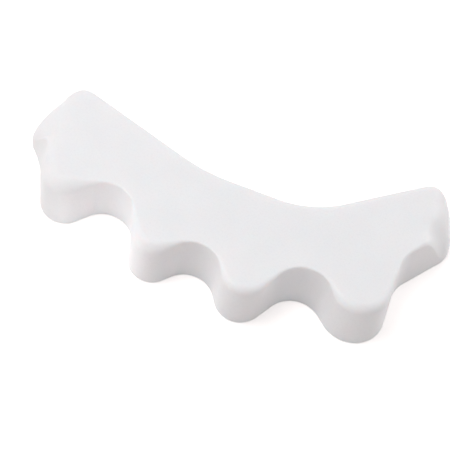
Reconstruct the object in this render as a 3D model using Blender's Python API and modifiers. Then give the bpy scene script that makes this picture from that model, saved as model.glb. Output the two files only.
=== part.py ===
"""Toe separator: one moulded silicone strip with four lobes between five toe bays.

The strip lies flat on its face. Z runs through its thickness, X along its length,
and the lobes point to the front, towards -Y.
The origin is at the middle of the strip's box, on the face that it lies on.
"""

import math

import bmesh
import bpy
from mathutils import Matrix, Vector

MM = 0.001

# Overall sizes
THICKNESS = 15.0 * MM
RIM_ROUND = 0.8 * MM

# Toe bays, numbered from the left end: each is a round seat for one toe
BAY_1_RADIUS = 10.6 * MM
BAY_2_RADIUS = 7.3 * MM
BAY_3_RADIUS = 7.0 * MM
BAY_4_RADIUS = 7.5 * MM
BAY_5_RADIUS = 8.4 * MM

# Spacing of the bay centres, and the heading of the line through them in degrees
OUTER_PITCH_LEFT = 31.5 * MM
INNER_PITCH_LEFT = 26.2 * MM
INNER_PITCH_RIGHT = 26.9 * MM
OUTER_PITCH_RIGHT = 32.7 * MM
LEFT_HEADING = -21.0
BEND_AT_BAY_3 = 24.0
BEND_AT_BAY_4 = 25.0

# Lobes between the bays: tip radius, and how far each tip centre stands behind the bay line
LOBE_1_RADIUS = 5.6 * MM
LOBE_2_RADIUS = 5.6 * MM
LOBE_3_RADIUS = 6.0 * MM
LOBE_4_RADIUS = 7.4 * MM
LOBE_SETBACK = 3.0 * MM
LAST_LOBE_SETBACK = 0.8 * MM

# Place of each tip centre between its two bays, as a share of their spacing
LOBE_1_SHARE = 0.57
LOBE_2_SHARE = 0.52
LOBE_3_SHARE = 0.48
LOBE_4_SHARE = 0.46

# Back edge: two hollow arcs, each with the wall that it leaves behind a bay
LEFT_ARC_RADIUS = 45.0 * MM
LEFT_NECK = 20.3 * MM
LEFT_ARC_BEARING = 85.0
RIGHT_ARC_RADIUS = 25.0 * MM
RIGHT_NECK = 18.1 * MM
RIGHT_ARC_BEARING = 101.4

# Ends of the strip: width, direction that the end faces, and where its front corner is centred,
# as seen from the centre of the outer bay
LEFT_END_WIDTH = 14.6 * MM
LEFT_END_FACING = 152.4
LEFT_END_REACH = 12.9 * MM
LEFT_END_BEARING = 64.8
RIGHT_END_WIDTH = 15.2 * MM
RIGHT_END_FACING = 12.6
RIGHT_END_REACH = 17.5 * MM
RIGHT_END_BEARING = 92.4

# Rounding of the four corners in plan
LEFT_FRONT_CORNER = 2.0 * MM
LEFT_BACK_CORNER = 3.0 * MM
RIGHT_FRONT_CORNER = 4.0 * MM
RIGHT_BACK_CORNER = 4.5 * MM

# Roll-down of both ends: the top face curves down to a low upright lip
ROLL_LENGTH = 9.0 * MM
LIP_HEIGHT = 1.5 * MM

# Fineness of the round stretches
ARC_STEP = math.radians(12.0)
ROLL_FACETS = 10
RIM_SEGMENTS = 2
SHARP_ANGLE = math.radians(40.0)

# Cutters reach this far past what they cut
OVERSHOOT = 4.0 * MM
SKIM = 0.01 * MM

SILICONE_COLOUR = (0.83, 0.83, 0.85, 1.0)
SILICONE_ROUGHNESS = 0.5


def polar(length, degrees):
    angle = math.radians(degrees)
    return Vector((length * math.cos(angle), length * math.sin(angle)))


def bay_circles():
    """Centres and radii of the five bays, walked along the bay line from the left."""
    radii = (BAY_1_RADIUS, BAY_2_RADIUS, BAY_3_RADIUS, BAY_4_RADIUS, BAY_5_RADIUS)
    pitches = (OUTER_PITCH_LEFT, INNER_PITCH_LEFT, INNER_PITCH_RIGHT, OUTER_PITCH_RIGHT)
    bends = (0.0, 0.0, BEND_AT_BAY_3, BEND_AT_BAY_4)
    centre = Vector((0.0, 0.0))
    heading = LEFT_HEADING
    circles = [(centre, radii[0])]
    for pitch, bend, radius in zip(pitches, bends, radii[1:]):
        heading += bend
        centre = centre + polar(pitch, heading)
        circles.append((centre, radius))
    return circles


def lobe_circles(bays):
    """Tip circles of the four lobes. A tip is no rounder than its two bays leave room for."""
    radii = (LOBE_1_RADIUS, LOBE_2_RADIUS, LOBE_3_RADIUS, LOBE_4_RADIUS)
    shares = (LOBE_1_SHARE, LOBE_2_SHARE, LOBE_3_SHARE, LOBE_4_SHARE)
    setbacks = (LOBE_SETBACK, LOBE_SETBACK, LOBE_SETBACK, LAST_LOBE_SETBACK)
    circles = []
    for index, (radius, share, setback) in enumerate(zip(radii, shares, setbacks)):
        left, left_radius = bays[index]
        right, right_radius = bays[index + 1]
        along = right - left
        behind = Vector((-along.y, along.x)).normalized()
        centre = left + share * along + setback * behind
        room = min((centre - left).length - left_radius, (centre - right).length - right_radius)
        circles.append((centre, min(radius, 0.98 * room)))
    return circles


def end_corners(bay, reach, bearing, facing, width, front_radius, back_radius, back_side):
    """Centres of the front and back corner circles of one end, both touching its straight edge."""
    front = bay[0] + polar(reach, bearing)
    along = polar(width - front_radius - back_radius, facing + back_side * 90.0)
    outward = polar(front_radius - back_radius, facing)
    return front, front + along + outward


def left_corners(bays):
    return end_corners(
        bays[0], LEFT_END_REACH, LEFT_END_BEARING, LEFT_END_FACING,
        LEFT_END_WIDTH, LEFT_FRONT_CORNER, LEFT_BACK_CORNER, -1,
    )


def right_corners(bays):
    return end_corners(
        bays[4], RIGHT_END_REACH, RIGHT_END_BEARING, RIGHT_END_FACING,
        RIGHT_END_WIDTH, RIGHT_FRONT_CORNER, RIGHT_BACK_CORNER, 1,
    )


def outline_circles():
    """The circles that the outline runs round, counterclockwise, with +1 for an outward bulge
    and -1 for a hollow."""
    bays = bay_circles()
    lobes = lobe_circles(bays)
    route = []
    for lobe, bay in zip(lobes, bays[1:]):
        route.append((*lobe, 1))
        route.append((*bay, -1))

    right_front, right_back = right_corners(bays)
    route.append((right_front, RIGHT_FRONT_CORNER, 1))
    route.append((right_back, RIGHT_BACK_CORNER, 1))

    right_arc = bays[3][0] + polar(BAY_4_RADIUS + RIGHT_NECK + RIGHT_ARC_RADIUS, RIGHT_ARC_BEARING)
    left_arc = bays[2][0] + polar(BAY_3_RADIUS + LEFT_NECK + LEFT_ARC_RADIUS, LEFT_ARC_BEARING)
    route.append((right_arc, RIGHT_ARC_RADIUS, -1))
    route.append((left_arc, LEFT_ARC_RADIUS, -1))

    left_front, left_back = left_corners(bays)
    route.append((left_back, LEFT_BACK_CORNER, 1))
    route.append((left_front, LEFT_FRONT_CORNER, 1))
    route.append((*bays[0], -1))
    return route


def tangent(start, end):
    """Contact points of the straight line that leaves one circle and meets the next."""
    (c0, r0, s0), (c1, r1, s1) = start, end
    across = c1 - c0
    lean = max(-1.0, min(1.0, (r0 * s0 - r1 * s1) / across.length))
    heading = math.atan2(across.y, across.x) + math.asin(lean)
    left = Vector((-math.sin(heading), math.cos(heading)))
    return c0 - r0 * s0 * left, c1 - r1 * s1 * left


def outline_points():
    """Points of the whole outline: an arc round each circle, joined by straight tangents."""
    route = outline_circles()
    lines = [tangent(route[i], route[(i + 1) % len(route)]) for i in range(len(route))]
    points = []
    for index, (centre, radius, side) in enumerate(route):
        arrive = lines[index - 1][1] - centre
        leave = lines[index][0] - centre
        first = math.atan2(arrive.y, arrive.x)
        turn = (math.atan2(leave.y, leave.x) - first) * side % math.tau
        steps = max(2, math.ceil(turn / ARC_STEP))
        for step in range(steps + 1):
            angle = first + side * turn * step / steps
            points.append(centre + radius * Vector((math.cos(angle), math.sin(angle))))
    return points


def centre_of_box(points):
    xs = [point.x for point in points]
    ys = [point.y for point in points]
    return Vector(((min(xs) + max(xs)) / 2, (min(ys) + max(ys)) / 2))


def mesh_from_flat_curve(name, points, thickness):
    """A closed outline as a filled 2D curve, extruded to the thickness and turned into a mesh."""
    curve = bpy.data.curves.new(name + "_outline", "CURVE")
    curve.dimensions = "2D"
    curve.fill_mode = "BOTH"
    curve.extrude = thickness / 2
    spline = curve.splines.new("POLY")
    spline.points.add(len(points) - 1)
    for spot, point in zip(spline.points, points):
        spot.co = (point.x, point.y, 0.0, 1.0)
    spline.use_cyclic_u = True
    guide = bpy.data.objects.new(name + "_outline", curve)
    bpy.context.scene.collection.objects.link(guide)
    evaluated = guide.evaluated_get(bpy.context.evaluated_depsgraph_get())
    mesh = bpy.data.meshes.new_from_object(evaluated)
    mesh.name = name
    bpy.data.objects.remove(guide)
    bpy.data.curves.remove(curve)

    work = bmesh.new()
    work.from_mesh(mesh)
    bmesh.ops.remove_doubles(work, verts=work.verts, dist=0.001 * MM)
    bmesh.ops.dissolve_limit(work, angle_limit=math.radians(0.05), verts=work.verts, edges=work.edges)
    bmesh.ops.recalc_face_normals(work, faces=work.faces)
    work.to_mesh(mesh)
    work.free()
    return mesh


def roll_cutter(name, front_corner, front_radius, facing, width, collection):
    """A cutter for one end, shaped like what the roll-down takes away from a square end."""
    drop = THICKNESS - LIP_HEIGHT
    profile = [Vector((0.0, SKIM))]
    for step in range(1, ROLL_FACETS + 1):
        angle = math.pi / 2 * step / ROLL_FACETS
        profile.append(Vector((ROLL_LENGTH * math.sin(angle), drop * (math.cos(angle) - 1.0))))
    profile.append(Vector((ROLL_LENGTH, -THICKNESS - OVERSHOOT)))
    profile.append(Vector((ROLL_LENGTH + OVERSHOOT, -THICKNESS - OVERSHOOT)))
    profile.append(Vector((ROLL_LENGTH + OVERSHOOT, OVERSHOOT)))
    profile.append(Vector((0.0, OVERSHOOT)))
    mesh = mesh_from_flat_curve(name, profile, 2 * (width + OVERSHOOT))
    cutter = bpy.data.objects.new(name, mesh)

    start = front_corner + polar(front_radius - ROLL_LENGTH, facing)
    side_on = Matrix.Rotation(math.radians(90.0), 4, "X")
    turned = Matrix.Rotation(math.radians(facing), 4, "Z")
    cutter.matrix_world = Matrix.Translation((start.x, start.y, THICKNESS)) @ turned @ side_on
    cutter.display_type = "WIRE"
    cutter.hide_render = True
    collection.objects.link(cutter)
    return cutter


def silicone():
    material = bpy.data.materials.new("moulded_silicone")
    material.use_nodes = True
    shader = material.node_tree.nodes["Principled BSDF"]
    shader.inputs["Base Color"].default_value = SILICONE_COLOUR
    shader.inputs["Roughness"].default_value = SILICONE_ROUGHNESS
    shader.inputs["Metallic"].default_value = 0.0
    return material


def new_collection(name):
    collection = bpy.data.collections.new(name)
    bpy.context.scene.collection.children.link(collection)
    return collection


def main():
    for item in list(bpy.data.objects):
        bpy.data.objects.remove(item)
    parts = new_collection("toe_separator")
    cutters = new_collection("cutters")

    points = outline_points()
    middle = centre_of_box(points)
    points = [point - middle for point in points]
    mesh = mesh_from_flat_curve("separator_strip", points, THICKNESS)
    mesh.transform(Matrix.Translation((0.0, 0.0, THICKNESS / 2)))
    strip = bpy.data.objects.new("separator_strip", mesh)
    parts.objects.link(strip)

    bays = bay_circles()
    left_front = left_corners(bays)[0] - middle
    right_front = right_corners(bays)[0] - middle
    ends = (
        ("right_roll_cutter", right_front, RIGHT_FRONT_CORNER, RIGHT_END_FACING, RIGHT_END_WIDTH),
        ("left_roll_cutter", left_front, LEFT_FRONT_CORNER, LEFT_END_FACING, LEFT_END_WIDTH),
    )
    for name, corner, radius, facing, width in ends:
        cut = strip.modifiers.new(name, "BOOLEAN")
        cut.operation = "DIFFERENCE"
        cut.solver = "EXACT"
        cut.object = roll_cutter(name, corner, radius, facing, width, cutters)

    rims = strip.modifiers.new("rims", "BEVEL")
    rims.width = RIM_ROUND
    rims.segments = RIM_SEGMENTS
    rims.limit_method = "ANGLE"
    rims.angle_limit = SHARP_ANGLE

    strip.data.materials.append(silicone())
    strip.data.shade_smooth()
    strip.data.set_sharp_from_angle(angle=SHARP_ANGLE)


main()
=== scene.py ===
import math

import bmesh
import bpy
from mathutils import Matrix, Vector
from mathutils.geometry import delaunay_2d_cdt
from mathutils.kdtree import KDTree


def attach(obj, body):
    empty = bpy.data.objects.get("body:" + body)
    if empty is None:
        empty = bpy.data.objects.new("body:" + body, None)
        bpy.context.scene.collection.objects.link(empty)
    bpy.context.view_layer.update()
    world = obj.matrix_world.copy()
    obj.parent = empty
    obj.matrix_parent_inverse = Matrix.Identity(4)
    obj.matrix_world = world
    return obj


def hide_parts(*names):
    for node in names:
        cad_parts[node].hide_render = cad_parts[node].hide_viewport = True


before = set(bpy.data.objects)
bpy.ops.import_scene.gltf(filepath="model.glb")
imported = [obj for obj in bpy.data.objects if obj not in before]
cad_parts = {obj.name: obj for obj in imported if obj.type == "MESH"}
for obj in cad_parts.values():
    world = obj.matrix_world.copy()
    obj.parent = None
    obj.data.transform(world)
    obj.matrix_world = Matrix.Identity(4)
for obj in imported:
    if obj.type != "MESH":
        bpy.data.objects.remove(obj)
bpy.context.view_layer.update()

# The strip
# The whole separator is one soft strip of milky silicone, moulded in one shot and lying on its face.
# Its outline runs round a chain of circles joined by tangents, its walls are rings of that outline,
# and its top is a fine net that rolls down at both ends.

MM = 0.001

# In millimetres: the thickness, the height that is left at the ends, how far back their roll starts,
# the rounding of the foot, and the spacing of the points along the outline
THICKNESS = 15.0
LIP = 1.5
ROLL = 9.5
BASE_ROUND = 0.6
STEP = 0.35

# The bays are round seats for one toe each, from left to right: the place of the first one's centre,
# their radii, the steps from centre to centre, and the direction of each step. Directions are in
# degrees from the strip's length towards its back
FIRST_BAY = (-58.184, -0.756)
BAY_RADII = (10.6, 7.3, 7.0, 7.5, 8.4)
BAY_PITCHES = (31.5, 26.2, 26.9, 32.7)
BAY_HEADINGS = (-21.0, -21.0, 3.0, 28.0)

# The lobes between them: the radius of the tip, its place between the two bays as a share of their
# spacing, and how far its centre stands behind the line through them
LOBES = (
    (5.6, 0.57, 3.0),
    (5.6, 0.52, 3.0),
    (6.0, 0.48, 3.0),
    (7.4, 0.46, 0.8),
)

# The two hollows of the back edge: the radius, the wall that is left behind the bay in front of it,
# and the direction from that bay to the hollow's centre
RIGHT_HOLLOW = (25.0, 18.1, 101.4)
LEFT_HOLLOW = (45.0, 20.3, 85.0)

# Each end: the distance and direction from the outer bay's centre to the front corner's, the
# direction that the end faces, the side on which its back corner lies, its width, and the radii of
# the front and the back corner
RIGHT_END = (17.5, 92.4, 12.6, 1, 15.2, 4.0, 4.5)
LEFT_END = (12.9, 64.8, 152.4, -1, 14.6, 2.0, 3.0)

# How much softer the front corner is than that, how far it slides towards the back, and how much
# shorter the end's roll gets per millimetre towards the back
RIGHT_SOFTNESS = (1.5, 0.81, 0.0)
LEFT_SOFTNESS = (1.0, 0.85, 0.2)

# The top also rounds over the bay wall beside each end, most at the corner and less along the wall:
# the direction of the wall, the length of the rounding, and the share that is taken off
RIGHT_BROW = (226.1, 8.8, 0.96)
LEFT_BROW = (-36.87, 13.0, 0.92)
BROW_DEPTH = 7.0

# How the wall is formed at each circle of the outline: the radius of the top rim, how far the rim
# and the foot stand out from the outline, and how far the rim leans to the right
FORMS = (
    (4.0, 0.0, 0.9, 0.0),       # first lobe
    (0.4, 0.3, -0.3, 0.2),      # second bay
    (3.0, 0.0, 0.3, 0.0),       # second lobe
    (0.4, -0.1, 0.2, 0.3),      # third bay
    (2.0, 0.1, 0.0, 0.4),       # third lobe
    (0.4, -0.1, 0.7, 0.5),      # fourth bay
    (2.2, 0.0, 0.6, 0.0),       # fourth lobe
    (0.4, 0.2, 0.8, 0.0),       # fifth bay
    (2.0, 0.0, 0.2, 0.0),       # right end, front corner
    (2.5, 0.0, 0.0, 0.0),       # right end, back corner
    (3.2, 1.2, 0.0, 0.0),       # right hollow of the back edge
    (3.2, 1.2, 0.0, 0.0),       # left hollow of the back edge
    (1.4, 0.5, 0.0, 0.0),       # left end, back corner
    (2.0, 0.0, 0.0, 0.0),       # left end, front corner
    (0.6, -0.8, 1.6, 0.0),      # first bay
)
FEWEST_ON_ARC = 3

# The four values of those forms are evened over this many points on both sides. A rim reaches
# inwards by at most this share of a bulge's radius, and by this much more per millimetre beside it.
# Where the top is down at the lip the rim is this small, and it grows by this much per millimetre up
EVEN_REACH = 7
ROOM_SHARE = 0.85
ROOM_GROWTH = 0.5
LIP_RIM = 0.3
LIP_RIM_GROWTH = 0.6


def polar(length, degrees):
    """A step of that length in that direction."""
    angle = math.radians(degrees)
    return Vector((length * math.cos(angle), length * math.sin(angle)))


def shape_end(bay, size, softness, brow):
    """One end: its front and back corner circles, its straight edge with the way that it faces and
    how its roll shortens, and the corner and the wall beside it that the top rounds over."""
    reach, bearing, facing, side, width, front, back = size
    softer, slide, shorter = softness
    wall, length, strength = brow
    outward = polar(1.0, facing)
    along = polar(1.0, facing + 90.0 * side)
    inward = polar(1.0, wall - 90.0 * side)
    hub = bay + polar(reach, bearing)
    front_circle = (hub - softer * outward + slide * along, front + softer, 1)
    back_circle = (hub + (width - front - back) * along + (front - back) * outward, back, 1)
    edge = (hub + front * outward, outward, shorter)
    rounded = (hub - front * inward, polar(1.0, wall), inward, length, strength)
    return front_circle, back_circle, edge, rounded


# The circles, counterclockwise from the first lobe: centre, radius, and +1 for a bulge or -1 for a
# hollow
bays = [Vector(FIRST_BAY)]
for pitch, heading in zip(BAY_PITCHES, BAY_HEADINGS):
    bays.append(bays[-1] + polar(pitch, heading))
right_front, right_back, right_edge, right_brow = shape_end(bays[4], RIGHT_END, RIGHT_SOFTNESS, RIGHT_BROW)
left_front, left_back, left_edge, left_brow = shape_end(bays[0], LEFT_END, LEFT_SOFTNESS, LEFT_BROW)
route = []
for left, right, bay_radius, (radius, share, setback) in zip(bays, bays[1:], BAY_RADII[1:], LOBES):
    span = right - left
    behind = Vector((-span.y, span.x)).normalized()
    route.append((left + share * span + setback * behind, radius, 1))
    route.append((right, bay_radius, -1))
route += [right_front, right_back]
for index, (radius, neck, bearing) in ((3, RIGHT_HOLLOW), (2, LEFT_HOLLOW)):
    route.append((bays[index] + polar(BAY_RADII[index] + neck + radius, bearing), radius, -1))
route += [left_back, left_front, (bays[0], BAY_RADII[0], -1)]
circles = [(*circle, *form) for circle, form in zip(route, FORMS)]
ends = (right_edge, left_edge)
brows = (right_brow, left_brow)


def tangent(start, end):
    """Where the straight line that leaves one circle starts, and where it meets the next."""
    c0, r0, s0 = start[:3]
    c1, r1, s1 = end[:3]
    across = c1 - c0
    heading = math.atan2(across.y, across.x) + math.asin((r0 * s0 - r1 * s1) / across.length)
    left = Vector((-math.sin(heading), math.cos(heading)))
    return c0 - r0 * s0 * left, c1 - r1 * s1 * left


def walk_outline(step):
    """Points round the strip: the place, the outward direction, the four values that vary along the
    outline, and how far inwards the rim may reach there before it would fold."""
    count_all = len(circles)
    lines = [tangent(circles[i], circles[(i + 1) % count_all]) for i in range(count_all)]
    walk = []
    for index, (centre, radius, side, *values) in enumerate(circles):
        room = ROOM_SHARE * radius if side > 0 else ROLL
        arrive = lines[index - 1][1] - centre
        leave = lines[index][0] - centre
        first = math.atan2(arrive.y, arrive.x)
        turn = (math.atan2(leave.y, leave.x) - first) * side % math.tau
        count = max(FEWEST_ON_ARC, math.ceil(radius * turn / step))
        for k in range(count + 1):
            angle = first + side * turn * k / count
            ray = Vector((math.cos(angle), math.sin(angle)))
            walk.append((centre + radius * ray, side * ray, values, room))
        start, stop = lines[index]
        straight = stop - start
        out = Vector((straight.y, -straight.x)).normalized()
        following = circles[(index + 1) % count_all][3:]
        count = math.floor(straight.length / step)
        for k in range(1, count):
            share = k / count
            blend = [here + (there - here) * share for here, there in zip(values, following)]
            walk.append((start + straight * share, out, blend, ROLL))
    return walk


def evened(values, reach):
    """The same values, each replaced by the mean of its neighbours on both sides."""
    span = range(-reach, reach + 1)
    return [sum(values[(i + k) % len(values)] for k in span) / len(span) for i in range(len(values))]


def top_height(spot):
    """Height of the top face: level, rolled down to the lip at the ends, rounded at their walls."""
    share = 1.0
    for edge, outward, shorter in ends:
        roll = ROLL - shorter * max(0.0, spot.y - edge.y)
        along = max(0.0, (spot - edge).dot(outward) / roll + 1.0)
        share *= math.sqrt(max(0.0, 1.0 - along * along))
    for corner, run, inward, length, strength in brows:
        along = min(1.0, max(0.0, (spot - corner).dot(run) / length))
        deep = min(1.0, max(0.0, (spot - corner).dot(inward) / BROW_DEPTH))
        loss = strength * math.cos(math.pi / 2 * along) * (1.0 - deep)
        share *= math.sqrt(1.0 - loss * loss)
    return LIP + (THICKNESS - LIP) * share


walk = walk_outline(STEP)
total = len(walk)
rims, brims, feet, leans = [
    evened(evened([values[k] for _, _, values, _ in walk], EVEN_REACH), EVEN_REACH) for k in range(4)
]
rooms = [room for _, _, _, room in walk]
for i in range(1 - total, total):
    rooms[i] = min(rooms[i], rooms[i - 1] + ROOM_GROWTH * STEP)
for i in reversed(range(1 - total, total)):
    rooms[i - 1] = min(rooms[i - 1], rooms[i] + ROOM_GROWTH * STEP)

# A column of points climbs the wall at each point of the outline: round the foot, up, over the rim
FOOT_STEPS = 5
WALL_STEPS = 8
RIM_STEPS = 12
columns = []
for (point, out, _, _), rim, brim, foot, lean, room in zip(walk, rims, brims, feet, leans, rooms):
    height = top_height(point)
    rim = min(rim, room, LIP_RIM + LIP_RIM_GROWTH * (height - LIP))
    column = []
    for k in range(FOOT_STEPS + 1):
        angle = math.pi / 2 * k / FOOT_STEPS
        column.append((-BASE_ROUND * (1.0 - math.sin(angle)), BASE_ROUND * (1.0 - math.cos(angle))))
    for k in range(1, WALL_STEPS + 1):
        column.append((0.0, BASE_ROUND + (height - rim - BASE_ROUND) * k / WALL_STEPS))
    for k in range(1, RIM_STEPS + 1):
        angle = math.pi / 2 * k / RIM_STEPS
        inset = rim * (1.0 - math.cos(angle))
        level = top_height(point - out * inset)
        column.append((-inset, level - rim * (1.0 - math.sin(angle))))
    placed = []
    for shift, level in column:
        share = level / THICKNESS
        drift = Vector((lean, 0.0)) * (share - 0.5)
        placed.append((point + out * (shift + foot + (brim - foot) * share) + drift, level))
    columns.append(placed)

mesh = bmesh.new()
rings = []
for k in range(len(columns[0])):
    rings.append([mesh.verts.new((*column[k][0], column[k][1])) for column in columns])
for lower, upper in zip(rings, rings[1:]):
    for i in range(total):
        j = (i + 1) % total
        mesh.faces.new((lower[i], lower[j], upper[j], upper[i]))
mesh.faces.new(reversed(rings[0]))

# The net of the top face has rows close together where it rolls down, a few degrees of the roll
# apart, and wider apart on the level, where every other row is shifted by half a space. It keeps
# clear of the rim, and its sizes are in millimetres
ROLL_ROW_DEGREES = 3.2
ROLL_ROWS = 27
ROLL_SPACING = 0.8
ROLL_HALF_COUNT = 30
LEVEL_ROW = 1.0
LEVEL_ROWS_HALF = 28
LEVEL_SPACING = 1.2
LEVEL_HALF_COUNT = 48
NET_CLEARANCE = 0.4
NET_TOLERANCE = 1e-5
INSIDE_ONLY = 1
border = [vert.co.xy for vert in rings[-1]]
rim_tree = KDTree(total)
for i, spot in enumerate(border):
    rim_tree.insert((*spot, 0.0), i)
rim_tree.balance()
inner = []
for edge, outward, _ in ends:
    across = Vector((-outward.y, outward.x))
    for row in range(1, ROLL_ROWS + 1):
        along = ROLL * math.sin(math.radians(ROLL_ROW_DEGREES * row)) - ROLL
        for column in range(-ROLL_HALF_COUNT, ROLL_HALF_COUNT + 1):
            inner.append(edge + outward * along + across * column * ROLL_SPACING)
for row in range(-LEVEL_ROWS_HALF, LEVEL_ROWS_HALF + 1):
    for column in range(-LEVEL_HALF_COUNT, LEVEL_HALF_COUNT + 1):
        spot = Vector((LEVEL_SPACING * column + LEVEL_SPACING / 2 * (row % 2), LEVEL_ROW * row))
        if all((spot - edge).dot(outward) < -ROLL for edge, outward, _ in ends):
            inner.append(spot)
inner = [spot for spot in inner if rim_tree.find((*spot, 0.0))[2] > NET_CLEARANCE]
loop = [(i, (i + 1) % total) for i in range(total)]
net_points, _, net_faces, _, _, _ = delaunay_2d_cdt(border + inner, loop, [], INSIDE_ONLY, NET_TOLERANCE)
net_verts = {i: rings[-1][i] for i in range(total)}
for triangle in net_faces:
    for index in triangle:
        if index not in net_verts:
            spot = net_points[index]
            net_verts[index] = mesh.verts.new((*spot, top_height(spot)))
    mesh.faces.new([net_verts[index] for index in triangle])

for face in mesh.faces:
    face.smooth = True
bmesh.ops.scale(mesh, vec=(MM, MM, MM), verts=mesh.verts)
bmesh.ops.recalc_face_normals(mesh, faces=mesh.faces)
data = bpy.data.meshes.new("silicone_strip")
mesh.to_mesh(data)
mesh.free()
strip = bpy.data.objects.new("silicone_strip", data)
bpy.context.scene.collection.objects.link(strip)
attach(strip, "root")
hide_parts("separator_strip")


def srgb(code):
    """A hex colour as linear red, green, blue and alpha."""
    channels = [int(code[i:i + 2], 16) / 255.0 for i in (0, 2, 4)]
    return [c / 12.92 if c < 0.04045 else ((c + 0.055) / 1.055) ** 2.4 for c in channels] + [1.0]


def add_node(owner, kind, inputs, **properties):
    """A new node with its properties set. Each input gets a value, or a link from an output."""
    node = owner.node_tree.nodes.new(kind)
    for name, value in properties.items():
        setattr(node, name, value)
    for name, value in inputs.items():
        if isinstance(value, bpy.types.NodeSocket):
            owner.node_tree.links.new(value, node.inputs[name])
        else:
            node.inputs[name].default_value = value
    return node


# Milky silicone: light enters and spreads under the skin, so the lobes look milky and the walls stay
# soft. Its body is faintly cloudy and flecked, and the mould left a satin skin with a fine grain.
# Real grain is finer than 0.1 mm, so it is drawn as coarse as it needs to be to show.
MILK = "ECECEE"
PALE_MILK = "F3F2F4"
GREY_FLECK = "DEDDE2"
FLECK_SHARE = 0.18
CLOUD_SIZE = 11.0 * MM
FLECK_SIZE = 0.5 * MM
GRAIN_SIZE = 0.4 * MM
GRAIN_DEPTH = 0.1 * MM
LIGHT_SPREAD = 3.0 * MM
SILICONE_IOR = 1.41
silicone = bpy.data.materials.new("milky_moulded_silicone")
silicone.use_nodes = True
silicone.node_tree.nodes.clear()
mapping = add_node(silicone, "ShaderNodeTexCoord", {}).outputs["Object"]
cloud = add_node(silicone, "ShaderNodeTexNoise", {
    "Vector": mapping, "Scale": 1.0 / CLOUD_SIZE, "Detail": 3.0, "Roughness": 0.5,
})
fleck = add_node(silicone, "ShaderNodeTexNoise", {
    "Vector": mapping, "Scale": 1.0 / FLECK_SIZE, "Detail": 1.0, "Roughness": 0.5,
})
grain = add_node(silicone, "ShaderNodeTexNoise", {
    "Vector": mapping, "Scale": 1.0 / GRAIN_SIZE, "Detail": 2.0, "Roughness": 0.6,
})
tint = add_node(silicone, "ShaderNodeMix", {
    "Factor": cloud.outputs["Fac"], "A": srgb(MILK), "B": srgb(PALE_MILK),
}, data_type="RGBA")
specks = add_node(silicone, "ShaderNodeMapRange", {
    "Value": fleck.outputs["Fac"], "From Min": 0.45, "From Max": 0.75, "To Max": FLECK_SHARE,
})
flecked = add_node(silicone, "ShaderNodeMix", {
    "Factor": specks.outputs["Result"], "A": tint.outputs["Result"], "B": srgb(GREY_FLECK),
}, data_type="RGBA")
satin = add_node(silicone, "ShaderNodeMapRange", {
    "Value": grain.outputs["Fac"], "To Min": 0.42, "To Max": 0.58,
})
relief = add_node(silicone, "ShaderNodeBump", {
    "Height": grain.outputs["Fac"], "Strength": 0.15, "Distance": GRAIN_DEPTH,
})
skin = add_node(silicone, "ShaderNodeBsdfPrincipled", {
    "Base Color": flecked.outputs["Result"],
    "Roughness": satin.outputs["Result"],
    "Normal": relief.outputs["Normal"],
    "IOR": SILICONE_IOR,
    "Subsurface Weight": 0.5,
    "Subsurface Radius": (1.0, 0.68, 0.6),
    "Subsurface Scale": LIGHT_SPREAD,
})
add_node(silicone, "ShaderNodeOutputMaterial", {"Surface": skin.outputs["BSDF"]})
strip.data.materials.append(silicone)

# The floor
# A wide sheet of pale matt paper that the strip lies on. It keeps the strip's soft shadow, and it
# shows white to the camera.
FLOOR_HALF = 3.0
PAPER = "F3EDEB"
WHITE = (1.0, 1.0, 1.0, 1.0)


def seen_rays(owner, dark, bright):
    """A value that is bright where the camera or a mirror image looks, and dark for all other rays."""
    rays = add_node(owner, "ShaderNodeLightPath", {})
    seen = rays.outputs["Is Camera Ray"]
    for name in ("Is Glossy Ray", "Is Transmission Ray"):
        larger = add_node(owner, "ShaderNodeMath", {0: seen, 1: rays.outputs[name]}, operation="MAXIMUM")
        seen = larger.outputs["Value"]
    chosen = add_node(owner, "ShaderNodeMapRange", {"Value": seen, "To Min": dark, "To Max": bright})
    return chosen.outputs["Result"]


floor_mesh = bmesh.new()
bmesh.ops.create_grid(floor_mesh, x_segments=1, y_segments=1, size=FLOOR_HALF)
floor_data = bpy.data.meshes.new("floor")
floor_mesh.to_mesh(floor_data)
floor_mesh.free()
floor = bpy.data.objects.new("floor", floor_data)
bpy.context.scene.collection.objects.link(floor)

# Matt paper: an even surface with almost no lustre. It is lifted towards white only where it is
# looked at, and the light that it throws back on the strip stays that of pale, slightly warm paper
paper = bpy.data.materials.new("white_paper_floor")
paper.use_nodes = True
paper.node_tree.nodes.clear()
sheet = add_node(paper, "ShaderNodeBsdfPrincipled", {
    "Base Color": srgb(PAPER),
    "Roughness": 0.9,
    "Specular IOR Level": 0.1,
    "Emission Color": WHITE,
    "Emission Strength": seen_rays(paper, 0.0, 0.45),
})
add_node(paper, "ShaderNodeOutputMaterial", {"Surface": sheet.outputs["BSDF"]})
floor.data.materials.append(paper)

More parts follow.
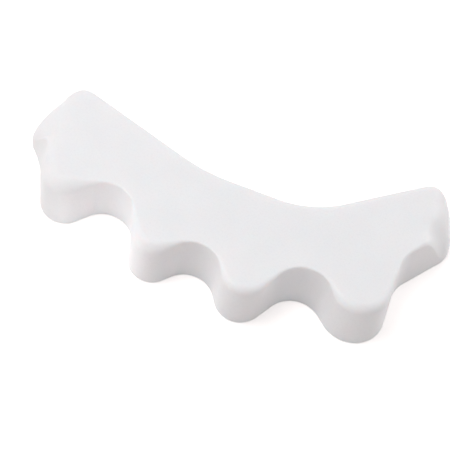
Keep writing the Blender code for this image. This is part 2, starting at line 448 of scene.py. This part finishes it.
# The light
# A pale surround and five soft round lamps. The large one is high on the left, two weak ones are low
# beside the left end, a tiny one lies in front of the second bay, and one stands at the back right.
world = bpy.data.worlds.new("studio_surround")
bpy.context.scene.world = world
world.use_nodes = True
world.node_tree.nodes.clear()
surround = add_node(world, "ShaderNodeBackground", {"Color": WHITE, "Strength": seen_rays(world, 0.45, 1.0)})
add_node(world, "ShaderNodeOutputWorld", {"Surface": surround.outputs["Background"]})

# Each lamp: its name, its place and its width in metres, and its power in watts
LAMPS = (
    ("key_lamp", (-0.25, -0.02, 0.60), 0.45, 2.20),
    ("left_front_lamp", (-0.17, -0.095, 0.025), 0.08, 0.012),
    ("left_back_lamp", (-0.22, 0.09, 0.10), 0.12, 0.003),
    ("bay_lamp", (-0.036, -0.027, 0.005), 0.02, 0.0010),
    ("right_lamp", (0.40, 0.32, 0.14), 0.2, 0.6),
)
for name, place, width, power in LAMPS:
    lamp = bpy.data.lights.new(name, "AREA")
    lamp.shape = "DISK"
    lamp.size = width
    lamp.energy = power
    holder = bpy.data.objects.new(name, lamp)
    holder.location = place
    holder.rotation_euler = (-Vector(place)).to_track_quat("-Z", "Y").to_euler()
    bpy.context.scene.collection.objects.link(holder)

# The camera
# It stands in front of the strip, slightly to the right, and looks steeply down, rolled a little to
# one side. Its long lens keeps the perspective weak.
EYE = Vector((0.02298, -0.20328, 0.30710))
TARGET = Vector((-0.00030, -0.00233, 0.0075))
SENSOR_WIDTH = 36.0
LENS = 118.17
ROLLED_BY = math.radians(10.85)
camera_data = bpy.data.cameras.new("camera")
camera_data.sensor_width = SENSOR_WIDTH
camera_data.lens = LENS
camera = bpy.data.objects.new("camera", camera_data)
view = (TARGET - EYE).to_track_quat("-Z", "Y").to_matrix().to_4x4()
camera.matrix_world = Matrix.Translation(EYE) @ view @ Matrix.Rotation(ROLLED_BY, 4, "Z")
bpy.context.scene.collection.objects.link(camera)
bpy.context.scene.camera = camera
bpy.context.scene.view_settings.view_transform = "Standard"
